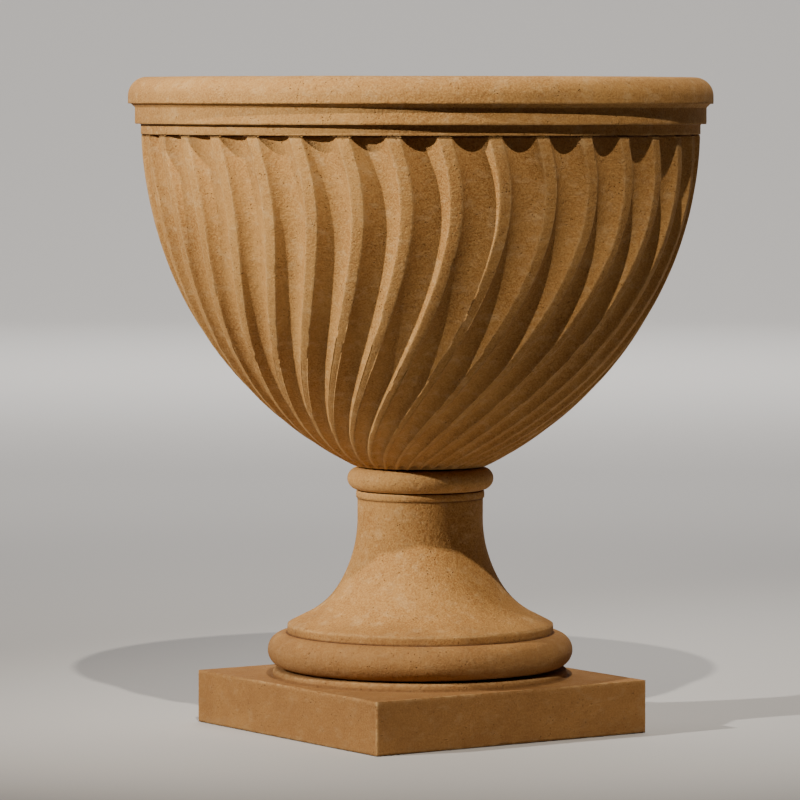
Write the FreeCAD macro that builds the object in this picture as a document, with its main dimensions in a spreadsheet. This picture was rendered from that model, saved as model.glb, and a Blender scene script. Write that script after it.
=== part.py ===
import FreeCAD, Part

import math
import os

import Sketcher

doc = FreeCAD.newDocument("urn_planter")

# Driving sizes, in millimetres and degrees
SIZES = {
    # Square slab with a low round pad for the pedestal and a stepped hole for the drain pipe
    "plinth_side": 425.0,
    "plinth_height": 70.0,
    "pad_radius": 194.0,
    "pad_height": 10.0,
    "outlet_radius": 18.0,
    "outlet_depth": 20.0,
    # Flat steel hoop cast into the rim
    "hoop_radius": 352.0,
    "hoop_width": 8.0,
    "hoop_height": 16.0,
    "hoop_drop": 46.0,
    # Joints between the castings: soft setting rings, open joints and clearances
    "ring_thickness": 4.0,
    "foot_ring_radius": 150.0,
    "foot_ring_width": 70.0,
    "neck_ring_radius": 68.0,
    "neck_ring_width": 30.0,
    "open_joint": 0.5,
    "fit_gap": 0.3,
    "lift_gap": 1.5,
    # Pedestal, from the foot up
    "foot_radius": 200.8,
    "foot_roll_height": 46.0,
    "foot_fillet_radius": 175.2,
    "foot_fillet_height": 11.7,
    "flare_drop": 139.6,
    "stem_radius": 83.0,
    "stem_length": 24.8,
    "neck_fillet_radius": 84.8,
    "neck_fillet_height": 10.4,
    "neck_radius": 96.5,
    "neck_roll_height": 30.5,
    # Bowl, from its seat up to the rim
    "bowl_curve_radius": 497.5,
    "bowl_radius": 364.5,
    "bowl_height": 433.0,
    "rim_fillet_radius": 364.9,
    "rim_fillet_height": 13.4,
    "fascia_radius": 372.7,
    "fascia_height": 26.1,
    "cove_size": 4.5,
    "rim_radius": 381.6,
    "rim_height": 36.0,
    "rim_rounding": 25.0,
    "rim_arris": 2.5,
    "lip_bevel": 6.0,
    "wall_thickness": 40.0,
    "floor_thickness": 45.0,
    # Swirled flutes round the bowl
    "flute_count": 36.0,
    "flute_twist": 48.2,
    "flute_phase": 7.56,
    # Drain pipe and the screen over it
    "pipe_radius": 24.15,
    "pipe_wall": 2.0,
    "pipe_end_gap": 1.0,
    "screen_radius": 44.0,
    "screen_thickness": 3.0,
    "screen_recess": 8.0,
    "screen_hole_radius": 5.0,
    "screen_hole_reach": 14.5,
    "screen_hole_count": 6.0,
    # How far a cutting tool runs past what it cuts
    "overrun": 5.0,
}

# Where the flare changes curve, as shares of its spread and drop, and its radii as shares of the drop
FLARE_SPREAD_SHARES = (0.262, 0.746)
FLARE_DROP_SHARES = (0.628, 0.914)
FLARE_RADIUS_SHARES = (1.212, 0.724)

# How far the flutes have turned back from the crest of their swirl, at even steps down the bowl's curve
TWIST_SHARES = (0.052, 0.007, 0.0, 0.030, 0.085, 0.161, 0.260, 0.385, 0.545, 0.751, 1.0)

# A flute's width as a share of its pitch, its depth as a share of its width, and the facets of its scoop
FLUTE_WIDTH_SHARE = 0.73
FLUTE_DEPTH_SHARE = 0.28
SCOOP_FACETS = 5

# Sizes that follow from the driving ones
DERIVED = {
    "pad_top": "plinth_height + pad_height",
    "pipe_bore_radius": "pipe_radius + fit_gap",
    "loose_bore_radius": "pipe_radius + lift_gap",
    "foot_base": "pad_top + open_joint",
    "foot_ring_base": "pad_top",
    "foot_ring_top": "pad_top + ring_thickness",
    "foot_ring_inner": "foot_ring_radius - foot_ring_width",
    "foot_recess_radius": "foot_ring_radius + fit_gap",
    "foot_recess_inner": "foot_ring_inner - fit_gap",
    "foot_roll_radius": "foot_roll_height / 2",
    "foot_roll_centre": "foot_radius - foot_roll_radius",
    "foot_roll_top": "foot_base + foot_roll_height",
    "foot_fillet_top": "foot_roll_top + foot_fillet_height",
    "flare_top": "foot_fillet_top + flare_drop",
    "flare_spread": "foot_fillet_radius - stem_radius",
    "flare_upper_radius": "stem_radius + flare_spread * %g" % FLARE_SPREAD_SHARES[0],
    "flare_upper_level": "flare_top - flare_drop * %g" % FLARE_DROP_SHARES[0],
    "flare_upper_curve": "flare_drop * %g" % FLARE_RADIUS_SHARES[0],
    "flare_lower_radius": "stem_radius + flare_spread * %g" % FLARE_SPREAD_SHARES[1],
    "flare_lower_level": "flare_top - flare_drop * %g" % FLARE_DROP_SHARES[1],
    "flare_lower_curve": "flare_drop * %g" % FLARE_RADIUS_SHARES[1],
    "neck_fillet_base": "flare_top + stem_length",
    "neck_roll_base": "neck_fillet_base + neck_fillet_height",
    "neck_roll_radius": "neck_roll_height / 2",
    "neck_roll_centre": "neck_radius - neck_roll_radius",
    "neck_top": "neck_roll_base + neck_roll_height",
    "bowl_base": "neck_top + open_joint",
    "neck_ring_base": "bowl_base - ring_thickness",
    "neck_ring_inner": "neck_ring_radius - neck_ring_width",
    "neck_recess_radius": "neck_ring_radius + fit_gap",
    "neck_recess_inner": "neck_ring_inner - fit_gap",
    "bowl_top": "bowl_base + bowl_height",
    "curve_level": "bowl_top + rim_fillet_height",
    "curve_offset": "bowl_curve_radius - bowl_radius",
    "cavity_curve_radius": "bowl_curve_radius - wall_thickness",
    "cavity_radius": "cavity_curve_radius - curve_offset",
    "floor_level": "bowl_base + floor_thickness",
    "floor_radius": "sqrt(cavity_curve_radius ^ 2 - (curve_level - floor_level) ^ 2) - curve_offset",
    "recess_level": "floor_level - screen_recess",
    "recess_radius": "screen_radius + open_joint",
    "fascia_top": "curve_level + fascia_height",
    "cove_base": "fascia_top - cove_size",
    "cove_edge": "fascia_radius + cove_size",
    "rim_arris_radius": "rim_radius - rim_arris",
    "rim_arris_level": "fascia_top + rim_arris",
    "rim_top": "fascia_top + rim_height",
    "rim_rounding_level": "rim_top - rim_rounding",
    "rim_flat_radius": "rim_radius - rim_rounding",
    "hoop_inner": "hoop_radius - hoop_width",
    "hoop_top": "rim_top - hoop_drop + hoop_height",
    "hoop_base": "rim_top - hoop_drop",
    "hoop_bed_inner": "hoop_inner - fit_gap",
    "hoop_bed_radius": "hoop_radius + fit_gap",
    "hoop_bed_base": "hoop_base - fit_gap",
    "hoop_bed_top": "hoop_top + fit_gap",
    "lip_level": "rim_top - lip_bevel",
    "lip_radius": "cavity_radius + lip_bevel",
    "pipe_base": "outlet_depth + pipe_end_gap",
    "pipe_top": "recess_level - pipe_end_gap",
    "pipe_inner_radius": "pipe_radius - pipe_wall",
    "under_plinth": "-overrun",
    "over_pad": "pad_top + overrun",
}

# Round stretches of the turned outlines: the cells of their start and end, their radius, the side that their
# centre lies on (1 is left of the way, -1 is right) and how many straight facets they are turned in
ROUNDS = {
    "foot_roll": ("foot_roll_centre", "foot_base", "foot_roll_centre", "foot_roll_top", "foot_roll_radius", 1, 8),
    "lower_flare": ("flare_lower_radius", "flare_lower_level", "flare_upper_radius", "flare_upper_level",
                     "flare_lower_curve", -1, 5),
    "upper_flare": ("flare_upper_radius", "flare_upper_level", "stem_radius", "flare_top",
                    "flare_upper_curve", -1, 5),
    "neck_roll": ("neck_roll_centre", "neck_roll_base", "neck_roll_centre", "neck_top", "neck_roll_radius", 1, 8),
    "rim_round": ("rim_radius", "rim_rounding_level", "rim_flat_radius", "rim_top", "rim_rounding", 1, 5),
    "cavity": ("cavity_radius", "curve_level", "floor_radius", "floor_level", "cavity_curve_radius", -1, 7),
}
for name, (start_radius, start_level, end_radius, end_level, curve, side, facets) in ROUNDS.items():
    across, up = "(%s - %s)" % (end_radius, start_radius), "(%s - %s)" % (end_level, start_level)
    DERIVED[name + "_half"] = "sqrt(%s ^ 2 + %s ^ 2) / 2" % (across, up)
    DERIVED[name + "_reach"] = "sqrt(max(0; %s ^ 2 - %s_half ^ 2)) * %d" % (curve, name, side)
    DERIVED[name + "_middle_radius"] = "(%s + %s - %s * %s_reach / %s_half) / 2" % (
        start_radius, end_radius, up, name, name)
    DERIVED[name + "_middle_level"] = "(%s + %s + %s * %s_reach / %s_half) / 2" % (
        start_level, end_level, across, name, name)
    DERIVED[name + "_first"] = "atan2(%s - %s_middle_level; %s - %s_middle_radius)" % (
        start_level, name, start_radius, name)
    DERIVED[name + "_sweep"] = "asin(min(1; %s_half / %s)) * 2 * %d" % (name, curve, side)
    for step in range(1, facets):
        turn = "(%s_first + %s_sweep * %d / %d)" % (name, name, step, facets)
        DERIVED["%s_radius_%d" % (name, step)] = "%s_middle_radius + %s * cos%s" % (name, curve, turn)
        DERIVED["%s_level_%d" % (name, step)] = "%s_middle_level + %s * sin%s" % (name, curve, turn)

sheet = doc.addObject("Spreadsheet::Sheet", "sizes")
cells = [(alias, str(value)) for alias, value in SIZES.items()]
cells += [(alias, "=" + formula) for alias, formula in DERIVED.items()]
for row, (alias, content) in enumerate(cells, start=1):
    sheet.set("A%d" % row, alias)
    sheet.set("B%d" % row, content)
    sheet.setAlias("B%d" % row, alias)
doc.recompute()


def size(alias):
    """The present value of a cell."""
    return float(sheet.get(alias))


def bound(alias):
    """The expression that follows a cell."""
    return "sizes." + alias


def new_body(name):
    body = doc.addObject("PartDesign::Body", name)
    body.Label = name
    return body


def origin_part(body, role):
    """The body's own origin plane or axis with this role."""
    return next(item for item in body.Origin.OriginFeatures if item.Role == role)


def new_sketch(body, name, role, level=None):
    """A sketch on one of the body's origin planes, raised to a level where one is given."""
    sketch = body.newObject("Sketcher::SketchObject", name)
    sketch.AttachmentSupport = [(origin_part(body, role), "")]
    sketch.MapMode = "FlatFace"
    sketch.Visibility = False
    if level:
        sketch.setExpression("AttachmentOffset.Base.z", bound(level))
    return sketch


def constrain(sketch, alias, kind, *where):
    """Adds a dimension to a sketch and binds it to a cell."""
    index = sketch.addConstraint(Sketcher.Constraint(kind, *where, size(alias)))
    sketch.setExpression("Constraints[%d]" % index, bound(alias))


def rounded(name):
    """The corners between the ends of a round stretch."""
    return [("%s_radius_%d" % (name, step), "%s_level_%d" % (name, step)) for step in range(1, ROUNDS[name][-1])]


def outline(sketch, corners, closed=True):
    """Draws an outline through corners, each given by its radius and level cells.

    A corner on the turning axis has None for its radius.
    """
    points = [FreeCAD.Vector(size(radius) if radius else 0, size(level), 0) for radius, level in corners]
    ends = points[1:] + points[:1] if closed else points[1:]
    for start, end in zip(points, ends):
        sketch.addGeometry(Part.LineSegment(start, end))
    for number, (radius, level) in enumerate(corners):
        line, tip = (number, 1) if number < len(ends) else (number - 1, 2)
        if closed or 0 < number < len(ends):
            sketch.addConstraint(Sketcher.Constraint("Coincident", (number - 1) % len(ends), 2, line, 1))
        if radius:
            constrain(sketch, radius, "DistanceX", -1, 1, line, tip)
        else:
            sketch.addConstraint(Sketcher.Constraint("PointOnObject", line, tip, -2))
        constrain(sketch, level, "DistanceY", -1, 1, line, tip)


def turned(body, name, corners, kind="PartDesign::Revolution"):
    """Turns a closed outline about the body's upright axis, to add to it or to cut a groove."""
    sketch = new_sketch(body, name + "_outline", "XZ_Plane")
    outline(sketch, corners)
    feature = body.newObject(kind, name)
    feature.Profile = (sketch, [""])
    feature.ReferenceAxis = (sketch, ["V_Axis"])
    feature.Angle = 360
    body.Tip = feature
    return feature


def ring_outline(inner, outer, base, top):
    return [(inner, base), (outer, base), (outer, top), (inner, top)]


def circle(sketch, radius, reach=None):
    """Draws a circle about the origin, or on the sketch's first axis at some reach from it."""
    centre = FreeCAD.Vector(size(reach) if reach else 0, 0, 0)
    index = sketch.addGeometry(Part.Circle(centre, FreeCAD.Vector(0, 0, 1), size(radius)))
    if reach:
        sketch.addConstraint(Sketcher.Constraint("PointOnObject", index, 3, -1))
        constrain(sketch, reach, "DistanceX", -1, 1, index, 3)
    else:
        sketch.addConstraint(Sketcher.Constraint("Coincident", index, 3, -1, 1))
    constrain(sketch, radius, "Radius", index)


def square(sketch, side):
    """Draws a square about the origin."""
    half = size(side) / 2
    points = [FreeCAD.Vector(half * x, half * y, 0) for x, y in ((-1, -1), (1, -1), (1, 1), (-1, 1))]
    for number in range(4):
        sketch.addGeometry(Part.LineSegment(points[number], points[(number + 1) % 4]))
    for number in range(4):
        sketch.addConstraint(Sketcher.Constraint("Coincident", number, 2, (number + 1) % 4, 1))
    for number in (0, 2):
        sketch.addConstraint(Sketcher.Constraint("Horizontal", number))
        sketch.addConstraint(Sketcher.Constraint("Vertical", number + 1))
    sketch.addConstraint(Sketcher.Constraint("Symmetric", 0, 1, 2, 1, -1, 1))
    constrain(sketch, side, "DistanceX", 0, 1, 0, 2)
    constrain(sketch, side, "DistanceY", 1, 1, 1, 2)


def pad(body, name, sketch, length):
    feature = body.newObject("PartDesign::Pad", name)
    feature.Profile = (sketch, [""])
    feature.setExpression("Length", bound(length))
    body.Tip = feature
    return feature


# Plinth: square slab and round pad, with a stepped drain hole that the pipe's lower end enters
plinth = new_body("plinth")
slab_outline = new_sketch(plinth, "slab_outline", "XY_Plane")
square(slab_outline, "plinth_side")
pad(plinth, "slab", slab_outline, "plinth_height")
pad_circle = new_sketch(plinth, "pad_circle", "XY_Plane", "plinth_height")
circle(pad_circle, "pad_radius")
pad(plinth, "round_pad", pad_circle, "pad_height")
turned(plinth, "drain_outlet", [
    (None, "under_plinth"),
    ("outlet_radius", "under_plinth"),
    ("outlet_radius", "outlet_depth"),
    ("loose_bore_radius", "outlet_depth"),
    ("loose_bore_radius", "over_pad"),
    (None, "over_pad"),
], "PartDesign::Groove")

# Pedestal casting: foot roll, fillet, flare, stem, neck fillet and neck roll, round the pipe's bore
turned(new_body("pedestal"), "pedestal_turning", [
    ("pipe_bore_radius", "foot_base"),
    ("foot_recess_inner", "foot_base"),
    ("foot_recess_inner", "foot_ring_top"),
    ("foot_recess_radius", "foot_ring_top"),
    ("foot_recess_radius", "foot_base"),
    ("foot_roll_centre", "foot_base"),
    *rounded("foot_roll"),
    ("foot_roll_centre", "foot_roll_top"),
    ("foot_fillet_radius", "foot_roll_top"),
    ("foot_fillet_radius", "foot_fillet_top"),
    ("flare_lower_radius", "flare_lower_level"),
    *rounded("lower_flare"),
    ("flare_upper_radius", "flare_upper_level"),
    *rounded("upper_flare"),
    ("stem_radius", "flare_top"),
    ("stem_radius", "neck_fillet_base"),
    ("neck_fillet_radius", "neck_fillet_base"),
    ("neck_fillet_radius", "neck_roll_base"),
    ("neck_roll_centre", "neck_roll_base"),
    *rounded("neck_roll"),
    ("neck_roll_centre", "neck_top"),
    ("neck_recess_radius", "neck_top"),
    ("neck_recess_radius", "neck_ring_base"),
    ("neck_recess_inner", "neck_ring_base"),
    ("neck_recess_inner", "neck_top"),
    ("pipe_bore_radius", "neck_top"),
])

# Setting rings in the two joints, the pipe that drains the bowl and centres the castings, and the rim's hoop
for name, corners in (
    ("foot_setting_ring", ring_outline("foot_ring_inner", "foot_ring_radius", "foot_ring_base", "foot_ring_top")),
    ("neck_setting_ring", ring_outline("neck_ring_inner", "neck_ring_radius", "neck_ring_base", "bowl_base")),
    ("drain_pipe", ring_outline("pipe_inner_radius", "pipe_radius", "pipe_base", "pipe_top")),
    ("rim_hoop", ring_outline("hoop_inner", "hoop_radius", "hoop_base", "hoop_top")),
    ("rim_hoop_bed", ring_outline("hoop_bed_inner", "hoop_bed_radius", "hoop_bed_base", "hoop_bed_top")),
):
    turned(new_body(name), name + "_turning", corners)

# Drain screen: a disc with a ring of holes round a middle one, all over the pipe's bore
drain_screen = new_body("drain_screen")
screen_circle = new_sketch(drain_screen, "screen_circle", "XY_Plane", "recess_level")
circle(screen_circle, "screen_radius")
circle(screen_circle, "screen_hole_radius")
pad(drain_screen, "screen_disc", screen_circle, "screen_thickness")
hole_circle = new_sketch(drain_screen, "hole_circle", "XY_Plane", "recess_level")
circle(hole_circle, "screen_hole_radius", "screen_hole_reach")
hole = drain_screen.newObject("PartDesign::Pocket", "hole")
hole.Profile = (hole_circle, [""])
hole.Type = "ThroughAll"
hole.Reversed = True
hole_ring = drain_screen.newObject("PartDesign::PolarPattern", "hole_ring")
hole_ring.Originals = [hole]
hole_ring.Axis = (origin_part(drain_screen, "Z_Axis"), [""])
hole_ring.setExpression("Occurrences", bound("screen_hole_count"))
drain_screen.Tip = hole_ring


def cup_section(station):
    """The corners of one section round the fluted cup, from the rim's underside (0) to the seat (last).

    The cup follows an arc whose centre lies past the turning axis, level with the top of the rim fillet.
    Each flute is a round scoop between two flat ribs, sunk square to the wall. The first and last
    sections are level, so their scoops are drawn out to where the level plane meets them.
    """
    steps = len(TWIST_SHARES) - 1
    curve = size("bowl_curve_radius")
    top_angle = math.asin((size("curve_level") - size("bowl_top")) / curve)
    seat_angle = math.asin((size("curve_level") - size("bowl_base")) / curve)
    angle = top_angle + (seat_angle - top_angle) * station / steps
    radius = curve * math.cos(angle) - size("curve_offset")
    level = size("curve_level") - curve * math.sin(angle)
    pitch = math.tau / round(size("flute_count"))
    half_flute = pitch * FLUTE_WIDTH_SHARE / 2
    half_width = radius * math.sin(half_flute)
    half_swing = 2 * math.atan(2 * FLUTE_DEPTH_SHARE)
    scoop = half_width / math.sin(half_swing)
    ends = station in (0, steps)
    inward, upward = (1 / math.cos(angle), 0) if ends else (math.cos(angle), math.sin(angle))
    start = math.radians(size("flute_phase") - size("flute_twist") * TWIST_SHARES[station])
    corners = []
    for flute in range(round(size("flute_count"))):
        turn = FreeCAD.Rotation(FreeCAD.Vector(0, 0, 1), math.degrees(start + flute * pitch))
        for facet in range(SCOOP_FACETS + 1):
            swing = half_swing * (2 * facet / SCOOP_FACETS - 1)
            sunk = scoop * (math.cos(swing) - math.cos(half_swing))
            out = radius * math.cos(half_flute) - sunk * inward
            corners.append(turn.multVec(FreeCAD.Vector(out, scoop * math.sin(swing), level + sunk * upward)))
    return corners


def level_face(radius, level, ring):
    """The level face between a circle and a section's ring of edges, whichever is the larger."""
    circle_edge = Part.makeCircle(size(radius), FreeCAD.Vector(0, 0, size(level)))
    return Part.makeFace([Part.Wire(circle_edge), Part.Wire(ring)], "Part::FaceMakerBullseye")


def fluted_casting(skin):
    """The casting that a turned skin and the flutes close between them.

    Ruled strips run down the flutes from section to section. One level face joins them to the skin
    under the rim, and another joins them to it round the drain hole.
    """
    sections = [cup_section(station) for station in range(len(TWIST_SHARES))]
    rings = [[Part.makeLine(*pair) for pair in zip(corners, corners[1:] + corners[:1])] for corners in sections]
    faces = list(skin.Faces)
    faces.append(level_face("rim_fillet_radius", "bowl_top", rings[0]))
    faces.append(level_face("loose_bore_radius", "bowl_base", rings[-1]))
    for upper, lower in zip(rings, rings[1:]):
        faces += [Part.makeRuledSurface(*pair) for pair in zip(upper, lower)]
    shell = Part.Shell(faces)
    shell.sewShape()
    solid = Part.Solid(shell)
    if solid.Volume < 0:
        solid.reverse()
    return solid


# Bowl: its skin is turned over the rim, down the planting space and through the drain hole
bowl_outline = doc.addObject("Sketcher::SketchObject", "bowl_outline")
bowl_outline.Placement = FreeCAD.Placement(FreeCAD.Vector(), FreeCAD.Rotation(FreeCAD.Vector(1, 0, 0), 90))
outline(bowl_outline, [
    ("rim_fillet_radius", "bowl_top"),
    ("rim_fillet_radius", "curve_level"),
    ("fascia_radius", "curve_level"),
    ("fascia_radius", "cove_base"),
    ("cove_edge", "fascia_top"),
    ("rim_arris_radius", "fascia_top"),
    ("rim_radius", "rim_arris_level"),
    ("rim_radius", "rim_rounding_level"),
    *rounded("rim_round"),
    ("rim_flat_radius", "rim_top"),
    ("lip_radius", "rim_top"),
    ("cavity_radius", "lip_level"),
    ("cavity_radius", "curve_level"),
    *rounded("cavity"),
    ("floor_radius", "floor_level"),
    ("recess_radius", "floor_level"),
    ("recess_radius", "recess_level"),
    ("loose_bore_radius", "recess_level"),
    ("loose_bore_radius", "bowl_base"),
], closed=False)
bowl_skin = doc.addObject("Part::Revolution", "bowl_skin")
bowl_skin.Source = bowl_outline
bowl_skin.Axis = FreeCAD.Vector(0, 0, 1)
bowl_skin.Solid = False
doc.recompute()
bowl_casting = doc.addObject("Part::Feature", "bowl_casting")
bowl_casting.Shape = fluted_casting(bowl_skin.Shape)
bowl = doc.addObject("Part::Cut", "bowl")
bowl.Base = bowl_casting
bowl.Tool = doc.getObject("rim_hoop_bed")

doc.recompute()

NODES = ["plinth", "foot_setting_ring", "pedestal", "neck_setting_ring", "drain_pipe", "bowl", "rim_hoop",
         "drain_screen"]
for item in doc.Objects:
    if {"Invalid", "Error"} & set(item.State):
        raise ValueError("%s did not compute" % item.Label)
for node in NODES:
    shape = doc.getObjectsByLabel(node)[0].Shape
    if shape.isNull() or not shape.isValid() or len(shape.Solids) != 1:
        raise ValueError("%s is not one valid solid" % node)

os.makedirs("parts", exist_ok=True)
for node in NODES:
    doc.getObjectsByLabel(node)[0].Shape.exportStep("parts/%s.step" % node)
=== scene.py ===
import math

import bpy
import numpy as np
from mathutils import Matrix, Vector, noise


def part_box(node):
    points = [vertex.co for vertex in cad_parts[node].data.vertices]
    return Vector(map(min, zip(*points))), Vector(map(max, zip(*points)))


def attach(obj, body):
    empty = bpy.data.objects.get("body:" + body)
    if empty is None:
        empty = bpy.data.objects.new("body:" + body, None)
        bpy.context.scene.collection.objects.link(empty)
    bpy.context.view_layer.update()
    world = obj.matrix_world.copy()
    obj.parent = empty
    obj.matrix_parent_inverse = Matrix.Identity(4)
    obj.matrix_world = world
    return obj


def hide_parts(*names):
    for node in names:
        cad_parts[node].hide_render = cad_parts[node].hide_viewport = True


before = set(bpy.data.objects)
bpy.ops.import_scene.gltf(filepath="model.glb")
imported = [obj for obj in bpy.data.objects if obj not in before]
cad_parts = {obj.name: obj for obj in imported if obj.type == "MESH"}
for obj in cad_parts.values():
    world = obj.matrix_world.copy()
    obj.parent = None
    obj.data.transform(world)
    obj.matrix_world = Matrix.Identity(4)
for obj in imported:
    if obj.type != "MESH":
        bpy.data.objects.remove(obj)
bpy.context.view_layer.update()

# Sizes of the castings, in metres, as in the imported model
PAD_RADIUS = 0.194
PLINTH_HEIGHT = 0.07
FOOT_BASE = 0.0805
FOOT_RADIUS = 0.2008
FOOT_ROLL_HEIGHT = 0.046
FOOT_FILLET_RADIUS = 0.1752
FOOT_FILLET_HEIGHT = 0.0117
FLARE_DROP = 0.1396
STEM_RADIUS = 0.083
STEM_LENGTH = 0.0248
NECK_FILLET_RADIUS = 0.0848
NECK_FILLET_HEIGHT = 0.0104
NECK_RADIUS = 0.0965
NECK_ROLL_HEIGHT = 0.0305
BOWL_CURVE_RADIUS = 0.4975
BOWL_RADIUS = 0.3645
BOWL_HEIGHT = 0.433
RIM_FILLET_RADIUS = 0.3649
RIM_FILLET_HEIGHT = 0.0134
FASCIA_RADIUS = 0.3727
FASCIA_HEIGHT = 0.0261
COVE_SIZE = 0.0045
RIM_ROUNDING = 0.025
WALL_THICKNESS = 0.04
LIP_BEVEL = 0.006
FLOOR_THICKNESS = 0.045
SCREEN_RECESS = 0.008
SCREEN_RECESS_RADIUS = 0.0445
PIPE_BORE_RADIUS = 0.02445
LOOSE_BORE_RADIUS = 0.02565
OUTLET_RADIUS = 0.018
OUTLET_DEPTH = 0.02

# Recesses of the setting rings: inner radius, outer radius and the level of their inner face
FOOT_RECESS = (0.0797, 0.1503, 0.084)
NECK_RECESS = (0.0377, 0.0683, 0.34)

# Flare of the pedestal: two points on it, and the radii of the arcs through them, as shares
# of its spread and of its drop
FLARE_SPREAD_SHARES = (0.262, 0.746)
FLARE_DROP_SHARES = (0.628, 0.914)
FLARE_RADIUS_SHARES = (1.212, 0.724)

# Swirled flutes: how far each has turned back from the crest of its swirl, at even steps
# down the bowl's curve
FLUTE_COUNT = 36
FLUTE_TWIST = math.radians(48.2)
FLUTE_PHASE = math.radians(7.56)
FLUTE_WIDTH_SHARE = 0.73
FLUTE_DEPTH_SHARE = 0.28
TWIST_SHARES = (0.052, 0.007, 0.0, 0.030, 0.085, 0.161, 0.260, 0.385, 0.545, 0.751, 1.0)

# Places of the mesh's columns across a scoop and across a rib, closer together beside the
# arris between them
SCOOP_SHARES = (0.0, 0.03, 0.08, 0.16, 0.25, 0.34, 0.42, 0.5, 0.58, 0.66, 0.75, 0.84, 0.92, 0.97)
RIB_SHARES = (0.0, 0.07, 0.2, 0.4, 0.6, 0.8, 0.93)

# Weathered stone: how round its arrises have worn and how far its faces wander and sway
ARRIS = 0.0012
PAD_ARRIS = 0.005
PAD_COVE = 0.003
CORNER_ROUNDING = 0.0025
LEAST_ROUNDING = 0.0005
SHARP_TURN = math.radians(20)
WORN_SPAN_SHARE = 0.45
FACE_WANDER = 0.0005
WANDER_SCALE = 38.0
BROAD_WANDER_SHARE = 0.7
FINE_WANDER_SHARE = 0.3
FINE_WANDER_TIMES = 4
FORM_SWAY = 0.0011
SWAY_SCALE = 8.0
ARRIS_WEAR = 0.0007
CHIP_DEPTH = 0.0014
CHIP_SCALE = 55.0
CHIP_THRESHOLD = 0.25
CREST_REACH = 0.002
CREST_SHARE = 0.6

# Mesh of the castings: its finest spans, its columns round the axis and its rows
PROFILE_STEP = 0.003
COLUMNS = 720
CORNER_COLUMNS = 300
CORNER_CROWDING = 1.5
FLUTE_ROWS = 150
ARC_STEPS = 24
SMALL_ARC_STEPS = 6
PAD_COVE_STEPS = 5
WORN_STEPS = 4
FOOT_ROLL_STEPS = 48
NECK_ROLL_STEPS = 36
CAVITY_STEPS = 60
PLINTH_TOP_ROWS = 34
PLINTH_BASE_ROWS = 6
SCOOP_TOP_ROWS = 4
BOWL_BASE_ROWS = 16

# Where one kind of ring hands over to another on a flat face of the mesh
PLINTH_BASE_INNER = 0.15
PLINTH_TOP_INNER = 0.205
OUTLET_APRON_TIMES = 3
BORE_APRON_TIMES = 1.5
SCOOP_TOP_INSET = 0.004

# Colours of the stone: its body, then what lies over it, among them a painted highlight on the arrises and
# painted shade in the creases
STONE_DEEP = (0.31, 0.130, 0.030, 1)
STONE_PALE = (0.50, 0.258, 0.076, 1)
PATCH_COLOUR = (0.30, 0.132, 0.036, 1)
STREAK_COLOUR = (0.30, 0.130, 0.036, 1)
SAND_COLOUR = (0.58, 0.328, 0.105, 1)
COARSE_COLOUR = (0.25, 0.108, 0.030, 1)
BLOOM_COLOUR = (0.65, 0.43, 0.20, 1)
# Dark colour towards the ground
LOW_DARKENING_COLOUR = (0.17, 0.072, 0.022, 1)
# Pale colour on the convex arrises: partly wear, partly a painted highlight along them
WORN_EDGE_AND_HIGHLIGHT_COLOUR = (0.67, 0.44, 0.20, 1)
# Near-black colour in the creases: partly dirt, partly painted shade
CREASE_DIRT_AND_SHADE_COLOUR = (0.07, 0.024, 0.007, 1)
PIT_COLOUR = (0.12, 0.045, 0.012, 1)

# Colours of the fittings
STAINLESS_LIGHT = (0.60, 0.59, 0.57, 1)
STAINLESS_DARK = (0.40, 0.38, 0.35, 1)
ZINC_LIGHT = (0.47, 0.47, 0.46, 1)
ZINC_DARK = (0.30, 0.30, 0.29, 1)
RUBBER_BLACK = (0.022, 0.021, 0.020, 1)
RUBBER_DUST = (0.075, 0.066, 0.055, 1)

# Camera and room
CAMERA_AZIMUTH = math.radians(-34.54)
CAMERA_DISTANCE = 6.4017
CAMERA_HEIGHT = 0.8203
CAMERA_PITCH = math.radians(3.4855)
CAMERA_YAW = math.radians(-0.2390)
CAMERA_ROLL = math.radians(-0.0476)
CAMERA_LENS = 220.7
SENSOR_WIDTH = 36
FLOOR_RADIUS = 12.0
FLOOR_CENTRE = 0.01
FLOOR_STEP = 0.5
FLOOR_COLUMNS = 144
WALL_CURVE = 5.0
WALL_HEIGHT = 9.0
FLOOR_COLOUR = (0.50, 0.49, 0.475, 1)
FLOOR_ROUGHNESS = 0.9
SKY_COLOUR = (1.0, 0.32, 0.12, 1)
SKY_STRENGTH = 0.024
KEY_COLOUR = (1.0, 0.96, 0.89)
FRONT_COLOUR = (1.0, 0.93, 0.82)
BACKDROP_COLOUR = (1.0, 0.98, 0.96)

# Levels and radii that follow from the sizes
PLINTH_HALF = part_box("plinth")[1][0]
PAD_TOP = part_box("plinth")[1][2]
RIM_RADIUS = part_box("bowl")[1][0]
RIM_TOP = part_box("bowl")[1][2]
BOWL_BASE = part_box("bowl")[0][2]
foot_roll = FOOT_ROLL_HEIGHT / 2
neck_roll = NECK_ROLL_HEIGHT / 2
foot_roll_top = FOOT_BASE + FOOT_ROLL_HEIGHT
foot_fillet_top = foot_roll_top + FOOT_FILLET_HEIGHT
flare_top = foot_fillet_top + FLARE_DROP
neck_fillet_base = flare_top + STEM_LENGTH
neck_roll_base = neck_fillet_base + NECK_FILLET_HEIGHT
neck_top = neck_roll_base + NECK_ROLL_HEIGHT
bowl_top = BOWL_BASE + BOWL_HEIGHT
curve_level = bowl_top + RIM_FILLET_HEIGHT
curve_offset = BOWL_CURVE_RADIUS - BOWL_RADIUS
fascia_top = curve_level + FASCIA_HEIGHT
floor_level = BOWL_BASE + FLOOR_THICKNESS
cavity_curve = BOWL_CURVE_RADIUS - WALL_THICKNESS
cavity_radius = cavity_curve - curve_offset
floor_radius = math.sqrt(cavity_curve ** 2 - (curve_level - floor_level) ** 2) - curve_offset


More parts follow.
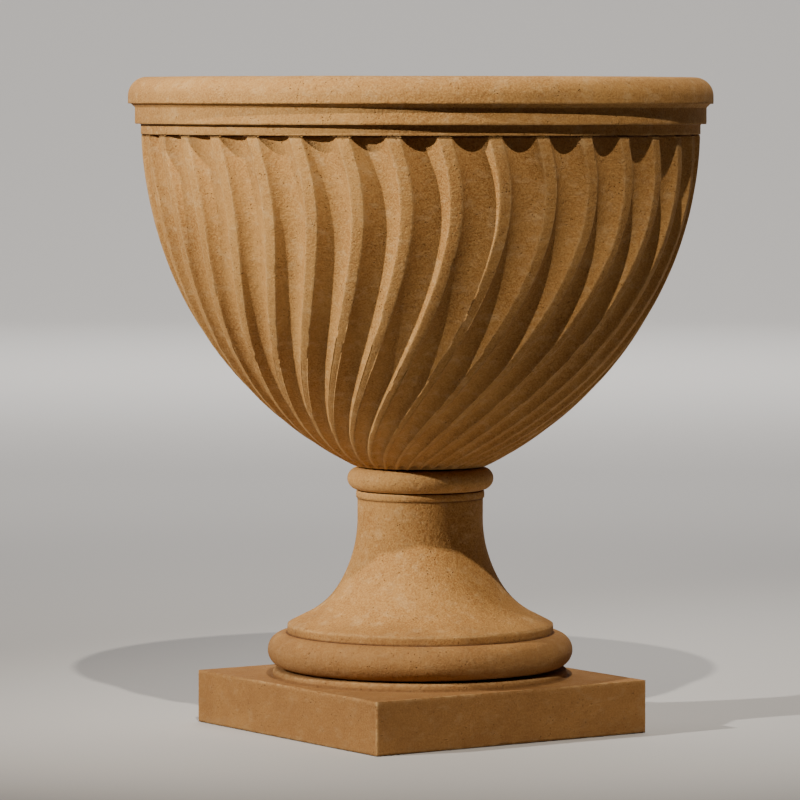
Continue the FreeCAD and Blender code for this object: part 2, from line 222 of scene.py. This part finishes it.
def bend(start, end, radius, side, steps=ARC_STEPS):
    """Points from start up to, but without, end on an arc.

    The arc's centre lies left (1) or right (-1) of the way."""
    start, end = Vector(start), Vector(end)
    half = (end - start) / 2
    left = Vector((-half.y, half.x)).normalized()
    centre = start + half + left * side * math.sqrt(max(radius ** 2 - half.length_squared, 0))
    first = math.atan2(start.y - centre.y, start.x - centre.x)
    sweep = 2 * math.asin(min(half.length / radius, 1)) * side
    turns = [first + sweep * k / steps for k in range(steps)]
    return [centre + radius * Vector((math.cos(turn), math.sin(turn))) for turn in turns]


def softened(points, rounding):
    """The outline with each sharp corner worn round."""
    worn = [Vector(points[0])]
    for before, corner, after in zip(points, points[1:], points[2:]):
        before, corner, after = Vector(before), Vector(corner), Vector(after)
        into, out = corner - before, after - corner
        turn = into.angle(out, 0)
        if turn < SHARP_TURN:
            worn.append(corner)
            continue
        reach = min(rounding * math.tan(turn / 2),
                    into.length * WORN_SPAN_SHARE, out.length * WORN_SPAN_SHARE)
        first, last = corner - into.normalized() * reach, corner + out.normalized() * reach
        for k in range(WORN_STEPS + 1):
            t = k / WORN_STEPS
            worn.append(first * (1 - t) ** 2 + corner * 2 * t * (1 - t) + last * t ** 2)
    worn.append(Vector(points[-1]))
    return worn


def divided(points, step=PROFILE_STEP):
    """The outline as an array with no span longer than the step."""
    dense = []
    for start, end in zip(points, points[1:]):
        count = max(1, math.ceil((end - start).length / step))
        dense += [start.lerp(end, k / count) for k in range(count)]
    return np.array(dense + [points[-1]])


def turned(outline, angles):
    """Rings of points round the axis, one for each point of the outline."""
    radius, level = outline[:, 0, None], outline[:, 1, None]
    return np.stack((radius * np.cos(angles), radius * np.sin(angles), level + 0 * angles), axis=-1)


def between(first, last, count):
    """Rows that pass evenly from one ring to another, without either of them."""
    share = (np.arange(1, count) / count)[:, None, None]
    return first * (1 - share) + last * share


def outward(grid):
    """The outward direction at each point of a grid that closes on itself both ways."""
    along = np.roll(grid, -1, 1) - np.roll(grid, 1, 1)
    upward = np.roll(grid, -1, 0) - np.roll(grid, 1, 0)
    normal = np.cross(along, upward)
    return normal / np.maximum(np.linalg.norm(normal, axis=-1, keepdims=True), 1e-12)


def bowed(line):
    """How far each point of a closed line lies from the middle of its two neighbours.

    The neighbours are those places on the line that are one crest's reach away."""
    loop = np.concatenate((line, line, line))
    way = np.concatenate(([0], np.cumsum(np.linalg.norm(np.diff(loop, axis=0), axis=1))))
    here = way[len(line):2 * len(line)]
    sides = [np.interp(here + step, way, loop[:, k])
             for step in (-CREST_REACH, CREST_REACH) for k in range(3)]
    return line - (np.stack(sides[:3], axis=-1) + np.stack(sides[3:], axis=-1)) / 2


def relief(grid):
    """How sharply each point stands out (up to 1) or lies in a crease (down to -1)."""
    upward = np.stack([bowed(grid[:, k]) for k in range(grid.shape[1])], axis=1)
    along = np.stack([bowed(ring) for ring in grid])
    height = np.sum((upward + along) * outward(grid), axis=-1)
    return np.clip(height / (CREST_REACH * CREST_SHARE), -1, 1)


def wander(grid, arrises):
    """How far each point has moved: inwards everywhere a little, more on worn and chipped arrises."""
    depths = []
    for point, arris in zip(grid.reshape(-1, 3), arrises.ravel()):
        place = Vector(point)
        broad = BROAD_WANDER_SHARE * noise.noise(place * WANDER_SCALE)
        fine = FINE_WANDER_SHARE * noise.noise(place * WANDER_SCALE * FINE_WANDER_TIMES)
        sway = noise.noise(place * SWAY_SCALE)
        depth = (broad + fine - 1) * FACE_WANDER / 2 + (sway - 1) * FORM_SWAY / 2
        if arris > 0:
            chip = max(0, noise.noise(place * CHIP_SCALE) - CHIP_THRESHOLD)
            depth -= arris * (ARRIS_WEAR + CHIP_DEPTH * chip)
        depths.append(depth)
    return np.array(depths).reshape(grid.shape[:2] + (1,))


def new_object(name, points, faces):
    """A smooth mesh in the scene."""
    mesh = bpy.data.meshes.new(name)
    mesh.from_pydata(points.reshape(-1, 3), [], faces)
    mesh.shade_smooth()
    item = bpy.data.objects.new(name, mesh)
    bpy.context.scene.collection.objects.link(item)
    return item


def new_casting(name, grid, node):
    """A casting with a bore right through it, as one grid of rings that closes on itself both ways."""
    grid = grid + outward(grid) * wander(grid, relief(grid))
    height = relief(grid)
    rows, columns = grid.shape[:2]
    row, column = np.meshgrid(np.arange(rows), np.arange(columns), indexing="ij")
    next_row, next_column = (row + 1) % rows, (column + 1) % columns
    corners = (row * columns + column, row * columns + next_column,
               next_row * columns + next_column, next_row * columns + column)
    faces = np.stack(corners, axis=-1).reshape(-1, 4)
    piece = new_object(name, grid, faces.tolist())
    # The 'worn' mask paints convex arrises paler, as wear and a painted highlight; the 'crease' mask paints
    # hollows darker, as dirt and painted shade
    for label, values in (("worn", height), ("crease", -height)):
        layer = piece.data.attributes.new(label, "FLOAT", "POINT")
        layer.data.foreach_set("value", np.maximum(values, 0).ravel().astype(np.float32))
    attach(piece, node)
    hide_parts(node)
    return piece


def square_ring(half, level, angles):
    """A ring of points on an upright square prism whose corners are rounded."""
    rounding = max(CORNER_ROUNDING - PLINTH_HALF + half, LEAST_ROUNDING)
    longer = np.maximum(np.abs(np.cos(angles)), np.abs(np.sin(angles)))
    shorter = np.minimum(np.abs(np.cos(angles)), np.abs(np.sin(angles)))
    core = half - rounding
    reach = half / longer
    spread = core * (longer + shorter)
    rounded = spread + np.sqrt(np.maximum(spread ** 2 - 2 * core ** 2 + rounding ** 2, 0))
    reach = np.where(shorter * reach > core, rounded, reach)
    return np.stack((reach * np.cos(angles), reach * np.sin(angles), level + 0 * angles), axis=-1)


def plinth_casting():
    """The square slab with its round pad and the stepped hole for the drain pipe."""
    step = np.arange(CORNER_COLUMNS) / (CORNER_COLUMNS / 2) - 1
    quarter = math.pi / 4 * (1 + np.sign(step) * np.abs(step) ** CORNER_CROWDING)
    angles = np.concatenate([quarter + math.pi / 2 * k for k in range(4)])
    slab = divided(softened([
        (PLINTH_BASE_INNER, 0),
        (PLINTH_HALF, 0),
        (PLINTH_HALF, PLINTH_HEIGHT),
        (PLINTH_TOP_INNER, PLINTH_HEIGHT),
    ], ARRIS))
    slab = np.array([square_ring(half, level, angles) for half, level in slab])
    pad = divided([
        *bend((PAD_RADIUS + PAD_COVE, PLINTH_HEIGHT), (PAD_RADIUS, PLINTH_HEIGHT + PAD_COVE),
              PAD_COVE, -1, PAD_COVE_STEPS),
        *bend((PAD_RADIUS, PAD_TOP - PAD_ARRIS), (PAD_RADIUS - PAD_ARRIS, PAD_TOP),
              PAD_ARRIS, 1, SMALL_ARC_STEPS),
        *softened([
            (PAD_RADIUS - PAD_ARRIS, PAD_TOP),
            (LOOSE_BORE_RADIUS, PAD_TOP),
            (LOOSE_BORE_RADIUS, OUTLET_DEPTH),
            (OUTLET_RADIUS, OUTLET_DEPTH),
            (OUTLET_RADIUS, 0),
            (OUTLET_RADIUS * OUTLET_APRON_TIMES, 0),
        ], ARRIS),
    ])
    pad = turned(pad, angles)
    grid = np.concatenate((slab, between(slab[-1], pad[0], PLINTH_TOP_ROWS),
                           pad, between(pad[-1], slab[0], PLINTH_BASE_ROWS)))
    return new_casting("plinth_stone", grid, "plinth")


def pedestal_casting():
    """The rolled foot, flare, stem and collar, bored for the drain pipe."""
    flare = [(STEM_RADIUS + (FOOT_FILLET_RADIUS - STEM_RADIUS) * across, flare_top - FLARE_DROP * down)
             for across, down in zip(FLARE_SPREAD_SHARES, FLARE_DROP_SHARES)]
    outline = [
        (PIPE_BORE_RADIUS, FOOT_BASE),
        (FOOT_RECESS[0], FOOT_BASE),
        (FOOT_RECESS[0], FOOT_RECESS[2]),
        (FOOT_RECESS[1], FOOT_RECESS[2]),
        (FOOT_RECESS[1], FOOT_BASE),
        *bend((FOOT_RADIUS - foot_roll, FOOT_BASE), (FOOT_RADIUS - foot_roll, foot_roll_top),
              foot_roll, 1, FOOT_ROLL_STEPS),
        (FOOT_RADIUS - foot_roll, foot_roll_top),
        (FOOT_FILLET_RADIUS, foot_roll_top),
        (FOOT_FILLET_RADIUS, foot_fillet_top),
        *bend(flare[1], flare[0], FLARE_DROP * FLARE_RADIUS_SHARES[1], -1),
        *bend(flare[0], (STEM_RADIUS, flare_top), FLARE_DROP * FLARE_RADIUS_SHARES[0], -1),
        (STEM_RADIUS, flare_top),
        (STEM_RADIUS, neck_fillet_base),
        (NECK_FILLET_RADIUS, neck_fillet_base),
        (NECK_FILLET_RADIUS, neck_roll_base),
        *bend((NECK_RADIUS - neck_roll, neck_roll_base), (NECK_RADIUS - neck_roll, neck_top),
              neck_roll, 1, NECK_ROLL_STEPS),
        (NECK_RADIUS - neck_roll, neck_top),
        (NECK_RECESS[1], neck_top),
        (NECK_RECESS[1], NECK_RECESS[2]),
        (NECK_RECESS[0], NECK_RECESS[2]),
        (NECK_RECESS[0], neck_top),
        (PIPE_BORE_RADIUS, neck_top),
        (PIPE_BORE_RADIUS, FOOT_BASE),
    ]
    angles = math.tau * np.arange(COLUMNS) / COLUMNS
    grid = turned(divided(softened(outline, ARRIS))[:-1], angles)
    return new_casting("pedestal_stone", grid, "pedestal")


def swirl_share(station):
    """The flutes' turn at a place between the table's steps, on a smooth curve through them."""
    steps = len(TWIST_SHARES) - 1
    k = min(int(station * steps), steps - 1)
    t = station * steps - k
    p1, p2 = TWIST_SHARES[k], TWIST_SHARES[k + 1]
    p0 = TWIST_SHARES[k - 1] if k else 2 * p1 - p2
    p3 = TWIST_SHARES[k + 2] if k + 2 <= steps else 2 * p2 - p1
    return p1 + t / 2 * (p2 - p0 + t * (2 * p0 - 5 * p1 + 4 * p2 - p3 + t * (3 * (p1 - p2) + p3 - p0)))


def flute_ring(station):
    """One ring of points round the flutes, from the rim's underside (0) to the seat (1)."""
    top_angle = math.asin((curve_level - bowl_top) / BOWL_CURVE_RADIUS)
    seat_angle = math.asin((curve_level - BOWL_BASE) / BOWL_CURVE_RADIUS)
    angle = top_angle + (seat_angle - top_angle) * station
    radius = BOWL_CURVE_RADIUS * math.cos(angle) - curve_offset
    level = curve_level - BOWL_CURVE_RADIUS * math.sin(angle)
    pitch = math.tau / FLUTE_COUNT
    half_flute = pitch / 2 * FLUTE_WIDTH_SHARE
    half_width = radius * math.sin(half_flute)
    half_swing = 2 * math.atan(2 * FLUTE_DEPTH_SHARE)
    scoop = half_width / math.sin(half_swing)
    start = FLUTE_PHASE - FLUTE_TWIST * swirl_share(station)
    one = []
    for share in SCOOP_SHARES:
        swing = half_swing * (2 * share - 1)
        sunk = scoop * (math.cos(swing) - math.cos(half_swing))
        out = radius * math.cos(half_flute) - sunk * math.cos(angle)
        one.append((out, scoop * math.sin(swing), level + sunk * math.sin(angle)))
    for share in RIB_SHARES:
        swing = half_flute + (pitch - 2 * half_flute) * share
        one.append((radius * math.cos(swing), radius * math.sin(swing), level))
    one = np.array(one)
    ring = []
    for flute in range(FLUTE_COUNT):
        turn = start + pitch * flute
        across = one[:, 0] * math.cos(turn) - one[:, 1] * math.sin(turn)
        along = one[:, 0] * math.sin(turn) + one[:, 1] * math.cos(turn)
        ring.append(np.stack((across, along, one[:, 2]), axis=-1))
    return np.concatenate(ring)


def bowl_casting():
    """The fluted bowl with its rim, hollow for planting and bored for the drain pipe."""
    flutes = np.array([flute_ring(1 - row / FLUTE_ROWS) for row in range(FLUTE_ROWS + 1)])
    flutes[0, :, 2] = BOWL_BASE
    flutes[-1, :, 2] = bowl_top
    skin = divided(softened([
        (RIM_FILLET_RADIUS - SCOOP_TOP_INSET, bowl_top),
        (RIM_FILLET_RADIUS, bowl_top),
        (RIM_FILLET_RADIUS, curve_level),
        (FASCIA_RADIUS, curve_level),
        (FASCIA_RADIUS, fascia_top - COVE_SIZE),
        (FASCIA_RADIUS + COVE_SIZE, fascia_top),
        (RIM_RADIUS, fascia_top),
        *bend((RIM_RADIUS, RIM_TOP - RIM_ROUNDING), (RIM_RADIUS - RIM_ROUNDING, RIM_TOP), RIM_ROUNDING, 1),
        (RIM_RADIUS - RIM_ROUNDING, RIM_TOP),
        *bend((cavity_radius + LIP_BEVEL, RIM_TOP), (cavity_radius, RIM_TOP - LIP_BEVEL),
              LIP_BEVEL, 1, SMALL_ARC_STEPS),
        (cavity_radius, RIM_TOP - LIP_BEVEL),
        *bend((cavity_radius, curve_level), (floor_radius, floor_level), cavity_curve, -1, CAVITY_STEPS),
        (floor_radius, floor_level),
        (SCREEN_RECESS_RADIUS, floor_level),
        (SCREEN_RECESS_RADIUS, floor_level - SCREEN_RECESS),
        (LOOSE_BORE_RADIUS, floor_level - SCREEN_RECESS),
        (LOOSE_BORE_RADIUS, BOWL_BASE),
        (LOOSE_BORE_RADIUS * BORE_APRON_TIMES, BOWL_BASE),
    ], ARRIS))
    columns = flutes.shape[1]
    first, last = (math.atan2(ring[0, 1], ring[0, 0]) for ring in (flutes[-1], flutes[0]))
    phase = np.linspace(first, last, len(skin))[:, None]
    skin = turned(skin, phase + math.tau * np.arange(columns) / columns)
    grid = np.concatenate((flutes, between(flutes[-1], skin[0], SCOOP_TOP_ROWS),
                           skin, between(skin[-1], flutes[0], BOWL_BASE_ROWS)))
    return new_casting("bowl_stone", grid, "bowl")


def add(tree, kind, inputs, axis=0, **settings):
    """A shader node whose inputs are values or other nodes' outputs; one of its outputs is returned."""
    item = tree.nodes.new(kind)
    for name, value in settings.items():
        setattr(item, name, value)
    for name, value in inputs.items():
        if isinstance(value, bpy.types.NodeSocket):
            tree.links.new(value, item.inputs[name])
        else:
            item.inputs[name].default_value = value
    return item.outputs[axis]


def grain(tree, place, scale, detail, roughness=0.6, stretch=None):
    """Noise from 0 to 1 at some scale, drawn out where it is stretched."""
    if stretch:
        place = add(tree, "ShaderNodeMapping", {"Vector": place, "Scale": stretch})
    return add(tree, "ShaderNodeTexNoise",
               {"Vector": place, "Scale": scale, "Detail": detail, "Roughness": roughness})


def spread(tree, value, low, high, bottom=0.0, top=1.0):
    """A value spread from its own range to another, and held inside that."""
    return add(tree, "ShaderNodeMapRange", {"Value": value, "From Min": low, "From Max": high,
                                            "To Min": bottom, "To Max": top})


def maths(tree, operation, first, second):
    """Two values added, subtracted or multiplied."""
    return add(tree, "ShaderNodeMath", {0: first, 1: second}, operation=operation)


def tinted(tree, amount, base, tint):
    """A colour that turns towards a tint by an amount."""
    return add(tree, "ShaderNodeMix", {0: amount, 6: base, 7: tint}, axis=2, data_type="RGBA")


def painted(tree, label):
    """The value that a mesh carries at its points under a label."""
    item = tree.nodes.new("ShaderNodeAttribute")
    item.attribute_name = label
    return item.outputs["Fac"]


def new_material(name, metallic, specular):
    """A material with its node tree, its shader and the place on the piece that its patterns follow."""
    material = bpy.data.materials.new(name)
    material.use_nodes = True
    tree = material.node_tree
    shader = tree.nodes["Principled BSDF"]
    shader.inputs["Metallic"].default_value = metallic
    shader.inputs["Specular IOR Level"].default_value = specular
    place = tree.nodes.new("ShaderNodeTexCoord").outputs["Object"]
    return material, tree, shader, place


def finish_material(tree, shader, colour, roughness, height, distance, strength):
    """The patterns joined to the shader, with the height as bumps."""
    tree.links.new(colour, shader.inputs["Base Color"])
    tree.links.new(roughness, shader.inputs["Roughness"])
    bump = add(tree, "ShaderNodeBump", {"Height": height, "Distance": distance, "Strength": strength})
    tree.links.new(bump, shader.inputs["Normal"])


def stone_material():
    """Sandy cast stone: clouded, streaked, darker near the ground, pale on its arrises as wear and a
    painted highlight, and dark in its creases as dirt and painted shade.
    """
    material, tree, shader, place = new_material("sandy_cast_stone", metallic=0.0, specular=0.25)
    cloud = grain(tree, place, scale=5.0, detail=5.0, roughness=0.62)
    patch = grain(tree, place, scale=17.0, detail=6.0, roughness=0.65)
    sand = grain(tree, place, scale=420.0, detail=3.0, roughness=0.7)
    coarse = grain(tree, place, scale=130.0, detail=4.0)
    streak = grain(tree, place, scale=26.0, detail=4.0, roughness=0.55, stretch=(1, 1, 0.09))
    bloom = grain(tree, place, scale=42.0, detail=7.0, roughness=0.7, stretch=(1, 1, 1.6))
    cells = add(tree, "ShaderNodeTexVoronoi", {"Vector": place, "Scale": 210.0, "Randomness": 1.0})
    sparse = spread(tree, grain(tree, place, scale=60.0, detail=2.0), 0.52, 0.62)
    pit = maths(tree, "MULTIPLY", spread(tree, cells, 0.10, 0.22, 1.0, 0.0), sparse)
    # Convex arrises turn paler: partly wear, partly a painted highlight
    worn = maths(tree, "MULTIPLY", painted(tree, "worn"), spread(tree, coarse, 0.38, 0.62, 0.05, 0.65))
    # Creases turn almost black: partly dirt, partly painted shade
    crease = maths(tree, "MULTIPLY", spread(tree, painted(tree, "crease"), 0.15, 0.75),
                   spread(tree, coarse, 0.3, 0.6, 0.75, 1.0))
    # The stone turns darker towards the ground, below a ragged level
    level = add(tree, "ShaderNodeSeparateXYZ", {"Vector": place}, axis=2)
    ragged = maths(tree, "ADD", level, spread(tree, patch, 0.3, 0.7, -0.02, 0.02))
    low_darkening = maths(tree, "MULTIPLY", spread(tree, ragged, 0.115, 0.155, 1.0, 0.0),
                 spread(tree, patch, 0.3, 0.7, 0.55, 0.72))

    colour = tinted(tree, spread(tree, cloud, 0.32, 0.68), STONE_DEEP, STONE_PALE)
    for amount, tint in (
        (spread(tree, patch, 0.42, 0.72, top=0.55), PATCH_COLOUR),
        (spread(tree, streak, 0.50, 0.72, top=0.35), STREAK_COLOUR),
        (spread(tree, sand, 0.38, 0.62, top=0.7), SAND_COLOUR),
        (spread(tree, coarse, 0.52, 0.74, top=0.32), COARSE_COLOUR),
        (maths(tree, "MULTIPLY", spread(tree, bloom, 0.52, 0.68), 0.4), BLOOM_COLOUR),
        (low_darkening, LOW_DARKENING_COLOUR),
        (worn, WORN_EDGE_AND_HIGHLIGHT_COLOUR),
        (crease, CREASE_DIRT_AND_SHADE_COLOUR),
        (maths(tree, "MULTIPLY", pit, 0.7), PIT_COLOUR),
    ):
        colour = tinted(tree, amount, colour, tint)

    roughness = spread(tree, patch, 0.3, 0.7, 0.80, 0.93)
    height = maths(tree, "ADD", maths(tree, "MULTIPLY", sand, 0.6), maths(tree, "MULTIPLY", coarse, 0.8))
    height = maths(tree, "SUBTRACT", height, maths(tree, "MULTIPLY", pit, 0.9))
    finish_material(tree, shader, colour, roughness, height, distance=0.0016, strength=0.85)
    return material


def metal_material(name, light, dark, dullness, scale, stretch):
    """Steel with drawn or rolled lines along it, clouded with a duller film."""
    material, tree, shader, place = new_material(name, metallic=1.0, specular=0.5)
    lines = grain(tree, place, scale=scale, detail=3.0, roughness=0.7, stretch=stretch)
    film = grain(tree, place, scale=30.0, detail=5.0)
    colour = tinted(tree, spread(tree, film, 0.35, 0.65), light, dark)
    colour = tinted(tree, spread(tree, lines, 0.45, 0.7, top=0.4), colour, dark)
    roughness = maths(tree, "ADD", spread(tree, film, 0.3, 0.7, dullness - 0.08, dullness + 0.12),
                      spread(tree, lines, 0.4, 0.6, top=0.08))
    finish_material(tree, shader, colour, roughness, lines, distance=0.00008, strength=0.4)
    return material


def rubber_material():
    """Black rubber with dust on it."""
    material, tree, shader, place = new_material("black_setting_rubber", metallic=0.0, specular=0.4)
    dust = grain(tree, place, scale=90.0, detail=5.0, roughness=0.65)
    fine = grain(tree, place, scale=900.0, detail=2.0)
    colour = tinted(tree, spread(tree, dust, 0.45, 0.75), RUBBER_BLACK, RUBBER_DUST)
    roughness = spread(tree, dust, 0.3, 0.7, 0.62, 0.86)
    finish_material(tree, shader, colour, roughness, fine, distance=0.0001, strength=0.4)
    return material


def camera():
    """The camera where the photograph was taken from."""
    right = Vector((math.cos(CAMERA_YAW), -math.sin(CAMERA_YAW), 0))
    forward = Vector((math.sin(CAMERA_YAW) * math.cos(CAMERA_PITCH),
                      math.cos(CAMERA_YAW) * math.cos(CAMERA_PITCH), -math.sin(CAMERA_PITCH)))
    up = right.cross(forward)
    roll = Matrix.Rotation(CAMERA_ROLL, 3, forward)
    axes = Matrix((roll @ right, roll @ up, -forward)).transposed()
    turn = Matrix.Rotation(CAMERA_AZIMUTH, 3, "Z")
    place = turn @ Vector((0, -CAMERA_DISTANCE, 0)) + Vector((0, 0, CAMERA_HEIGHT))
    lens = bpy.data.cameras.new("photo_view")
    lens.lens = CAMERA_LENS
    lens.sensor_width = SENSOR_WIDTH
    item = bpy.data.objects.new("photo_view", lens)
    item.matrix_world = Matrix.Translation(place) @ (turn @ axes).to_4x4()
    bpy.context.scene.collection.objects.link(item)
    bpy.context.scene.camera = item


def placed_light(name, kind, azimuth, elevation, distance, power, colour, target):
    """A light aimed at a target and placed by its angles from the camera's direction."""
    target = Matrix.Rotation(CAMERA_AZIMUTH, 3, "Z") @ Vector(target)
    a, e = CAMERA_AZIMUTH + math.radians(azimuth), math.radians(elevation)
    place = target + distance * Vector((math.sin(a) * math.cos(e), -math.cos(a) * math.cos(e), math.sin(e)))
    light = bpy.data.lights.new(name, kind)
    light.energy = power
    light.color = colour
    item = bpy.data.objects.new(name, light)
    item.location = place
    item.rotation_euler = (target - place).to_track_quat("-Z", "Y").to_euler()
    bpy.context.scene.collection.objects.link(item)
    return light


def spot_light(name, azimuth, elevation, power, colour, target, softness, distance=5.0, reach=1.35):
    """A light on the urn whose pool fades out at its reach from the target."""
    light = placed_light(name, "SPOT", azimuth, elevation, distance, power, colour, target)
    light.spot_size = 2 * math.atan(reach / distance)
    light.spot_blend = 1.0
    light.shadow_soft_size = softness


def area_light(name, elevation, distance, power, target, size=5.0):
    """A broad light behind the urn, aimed away from the camera at the backdrop."""
    light = placed_light(name, "AREA", 0, elevation, distance, power, BACKDROP_COLOUR, target)
    light.size = size


def room():
    """A pale round floor that curves up into a wall, and a faint warm sky."""
    outline = divided([Vector((FLOOR_CENTRE, 0)), Vector((FLOOR_RADIUS, 0)),
                       *bend((FLOOR_RADIUS, 0), (FLOOR_RADIUS + WALL_CURVE, WALL_CURVE), WALL_CURVE, 1),
                       Vector((FLOOR_RADIUS + WALL_CURVE, WALL_CURVE)),
                       Vector((FLOOR_RADIUS + WALL_CURVE, WALL_HEIGHT))], FLOOR_STEP)
    points = turned(outline, math.tau * np.arange(FLOOR_COLUMNS) / FLOOR_COLUMNS)
    rows, columns = points.shape[:2]
    faces = [(row * columns + k, (row + 1) * columns + k,
              (row + 1) * columns + (k + 1) % columns, row * columns + (k + 1) % columns)
             for row in range(rows - 1) for k in range(columns)]
    faces.append(tuple(range(columns)))
    floor = new_object("floor", points, faces)
    material = bpy.data.materials.new("pale_floor")
    material.use_nodes = True
    shader = material.node_tree.nodes["Principled BSDF"]
    shader.inputs["Base Color"].default_value = FLOOR_COLOUR
    shader.inputs["Roughness"].default_value = FLOOR_ROUGHNESS
    floor.data.materials.append(material)
    world = bpy.data.worlds.new("sky")
    world.use_nodes = True
    sky = world.node_tree.nodes["Background"]
    sky.inputs["Color"].default_value = SKY_COLOUR
    sky.inputs["Strength"].default_value = SKY_STRENGTH
    bpy.context.scene.world = world


castings = [plinth_casting(), pedestal_casting(), bowl_casting()]
stone = stone_material()
for piece in castings:
    piece.data.materials.append(stone)
rubber = rubber_material()
stainless = metal_material("dull_stainless_steel", STAINLESS_LIGHT, STAINLESS_DARK,
                           dullness=0.34, scale=160.0, stretch=(1, 1, 0.04))
galvanised = metal_material("galvanised_bar_steel", ZINC_LIGHT, ZINC_DARK,
                            dullness=0.5, scale=70.0, stretch=(1, 1, 0.3))
FINISHES = {
    "foot_setting_ring": rubber,
    "neck_setting_ring": rubber,
    "drain_pipe": stainless,
    "drain_screen": stainless,
    "rim_hoop": galvanised,
}
for name, finish in FINISHES.items():
    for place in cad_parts[name].material_slots:
        place.material = finish

camera()
room()
spot_light("key", azimuth=-65, elevation=22, power=1480, colour=KEY_COLOUR,
           target=(0.0, 0.0, 0.72), softness=0.05)
spot_light("front", azimuth=3, elevation=51, power=880, colour=FRONT_COLOUR,
           target=(0.0, 0.0, 0.6), softness=0.04)
area_light("backdrop", elevation=48, distance=8.0, power=560, target=(0.0, 9.0, 0.0))
area_light("backdrop_far", elevation=35, distance=7.0, power=640, target=(0.0, 14.0, 1.5))
